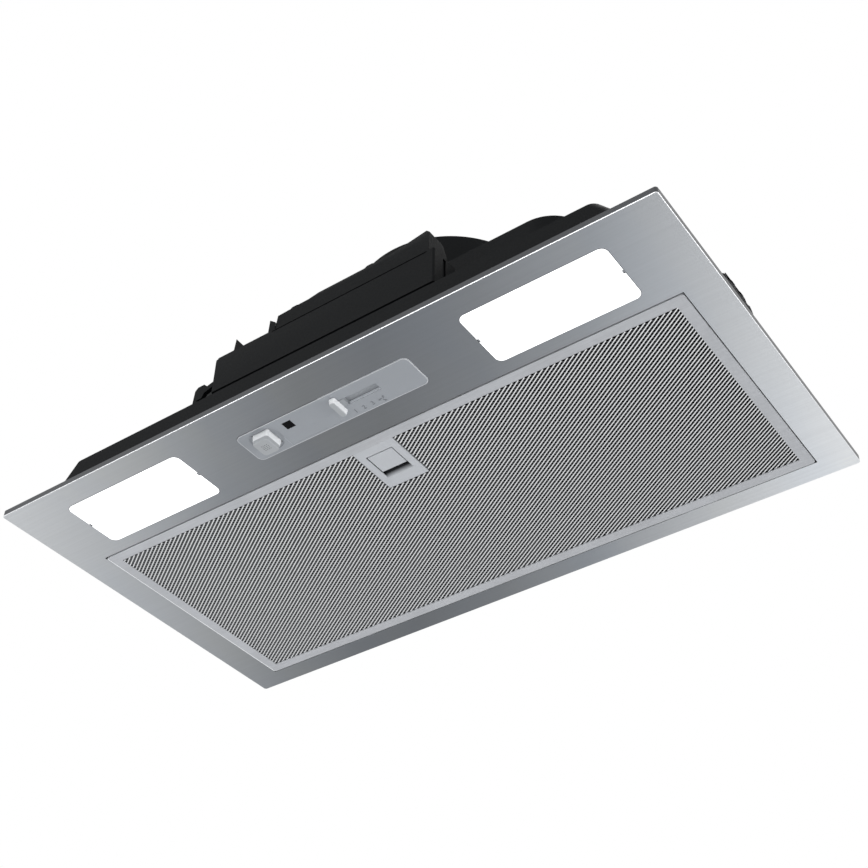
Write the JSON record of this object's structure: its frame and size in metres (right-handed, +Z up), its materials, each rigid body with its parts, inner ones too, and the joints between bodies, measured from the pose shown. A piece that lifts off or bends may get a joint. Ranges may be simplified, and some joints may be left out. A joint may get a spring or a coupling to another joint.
{
  "type": "range hood insert",
  "caption": "Built-in range hood insert: steel flange panel with hinged grease filter, lamps and slide control under a black casing with centrifugal blower and round flapped outlet.",
  "frame": {"origin": "centre of the cabinet cut-out, on the plane of the rim's top edge, which bears on the cabinet's underside", "axes": "+Z up towards the duct, -Y towards the front where the lamps and controls are, +X to the right seen from the front"},
  "size_m": [0.525, 0.285, 0.1645],
  "materials": {
    "steel_panel": "fine brushed stainless steel",
    "zinc_plated": "bright zinc plating",
    "spring_steel": "drawn wire",
    "filter_mesh": "expanded mesh",
    "filter_foil": "pleated mesh foil",
    "lamp_diffuser": "opal diffuser, lit",
    "lamp_tray": "white moulded plastic",
    "led_board": "white coated board",
    "control_grey": "silver-grey painted plastic",
    "control_white": "satin white plastic",
    "control_black": "black moulded plastic",
    "smoked_lens": "smoked lens",
    "circuit_board": "green coated board",
    "driver_case": "dark grey case",
    "black_casing": "black moulded plastic",
    "cable_gland": "black nylon",
    "flap_plastic": "black moulded plastic",
    "pin_steel": "ground steel",
    "impeller_plastic": "dark moulded plastic",
    "motor_aluminium": "die-cast",
    "stator_steel": "stacked sheets",
    "rotor_aluminium": "cast cage",
    "copper_winding": "enamelled copper",
    "bush_rubber": "black rubber",
    "capacitor_case": "white case",
    "capacitor_strap": "black nylon",
    "terminal_plastic": "ivory plastic",
    "clip_steel": "dark spring steel"
  },
  "bodies": {
    "root": {"bottom_panel": "steel_panel", "panel_nuts": "zinc_plated", "casing_base": "black_casing", "left_diffuser": "lamp_diffuser", "right_diffuser": "lamp_diffuser", "left_lamp_tray": "lamp_tray", "right_lamp_tray": "lamp_tray", "left_led_board": "led_board", "right_led_board": "led_board", "control_plate": "control_grey", "control_frame": "control_black", "control_board": "circuit_board", "button_spring": "spring_steel", "light_switch": "control_black", "speed_switch": "control_black", "indicator_lens": "smoked_lens", "electronics_box": "black_casing", "electronics_lid": "black_casing", "main_board": "circuit_board", "led_driver": "driver_case", "volute_base": "black_casing", "inlet_grille": "black_casing", "blower_housing": "black_casing", "housing_screws": "zinc_plated", "motor_stator": "stator_steel", "motor_windings": "copper_winding", "motor_top_cap": "motor_aluminium", "motor_bottom_cap": "motor_aluminium", "top_bearing": "pin_steel", "bottom_bearing": "pin_steel", "motor_bushes": "bush_rubber", "motor_screws": "zinc_plated", "capacitor": "capacitor_case", "capacitor_clip": "capacitor_strap", "terminal_block": "terminal_plastic", "terminal_cover": "black_casing", "cover_screws": "zinc_plated", "cable_gland": "cable_gland", "outlet_collar": "black_casing", "collar_screws": "zinc_plated", "flap_pin": "pin_steel", "left_clip": "clip_steel", "right_clip": "clip_steel", "clip_screws": "zinc_plated"},
    "light_button": {"light_button": "control_white"},
    "speed_slider": {"slider_knob": "control_white", "slider_shutter": "control_grey"},
    "filter": {"filter_frame": "steel_panel", "filter_face_mesh": "filter_mesh", "filter_core": "filter_foil", "filter_back_mesh": "filter_mesh", "latch_plate": "steel_panel", "latch_spring": "spring_steel"},
    "latch": {"latch_handle": "steel_panel"},
    "fan": {"impeller": "impeller_plastic", "motor_shaft": "pin_steel", "motor_rotor": "rotor_aluminium"},
    "left_flap": {"left_flap": "flap_plastic"},
    "right_flap": {"right_flap": "flap_plastic"}
  },
  "joints": [
    {"name": "filter_swing", "type": "hinge", "parent": "root", "child": "filter", "pos_m": [0, 0.1254, -0.003], "axis": [1, 0, 0], "range_deg": [0, 30]},
    {"name": "latch_slide", "type": "slide", "parent": "filter", "child": "latch", "axis": [0, 1, 0], "range_m": [0, 0.004], "stiffness_N_per_m": 500, "springref_m": -0.003, "deforming": ["latch_spring"]},
    {"name": "light_press", "type": "slide", "parent": "root", "child": "light_button", "axis": [0, 0, 1], "range_m": [0, 0.0015], "stiffness_N_per_m": 400, "springref_m": -0.002, "deforming": ["button_spring"]},
    {"name": "speed_slide", "type": "slide", "parent": "root", "child": "speed_slider", "axis": [1, 0, 0], "range_m": [0, 0.025]},
    {"name": "fan_spin", "type": "hinge", "parent": "root", "child": "fan", "pos_m": [-0.118, 0.014, 0.06], "axis": [0, 0, 1], "continuous": true},
    {"name": "left_flap_swing", "type": "hinge", "parent": "root", "child": "left_flap", "pos_m": [0.027, -0.005, 0.119], "axis": [0, 1, 0], "range_deg": [0, 78]},
    {"name": "right_flap_swing", "type": "hinge", "parent": "root", "child": "right_flap", "pos_m": [0.027, -0.005, 0.119], "axis": [0, -1, 0], "range_deg": [0, 78]}
  ]
}
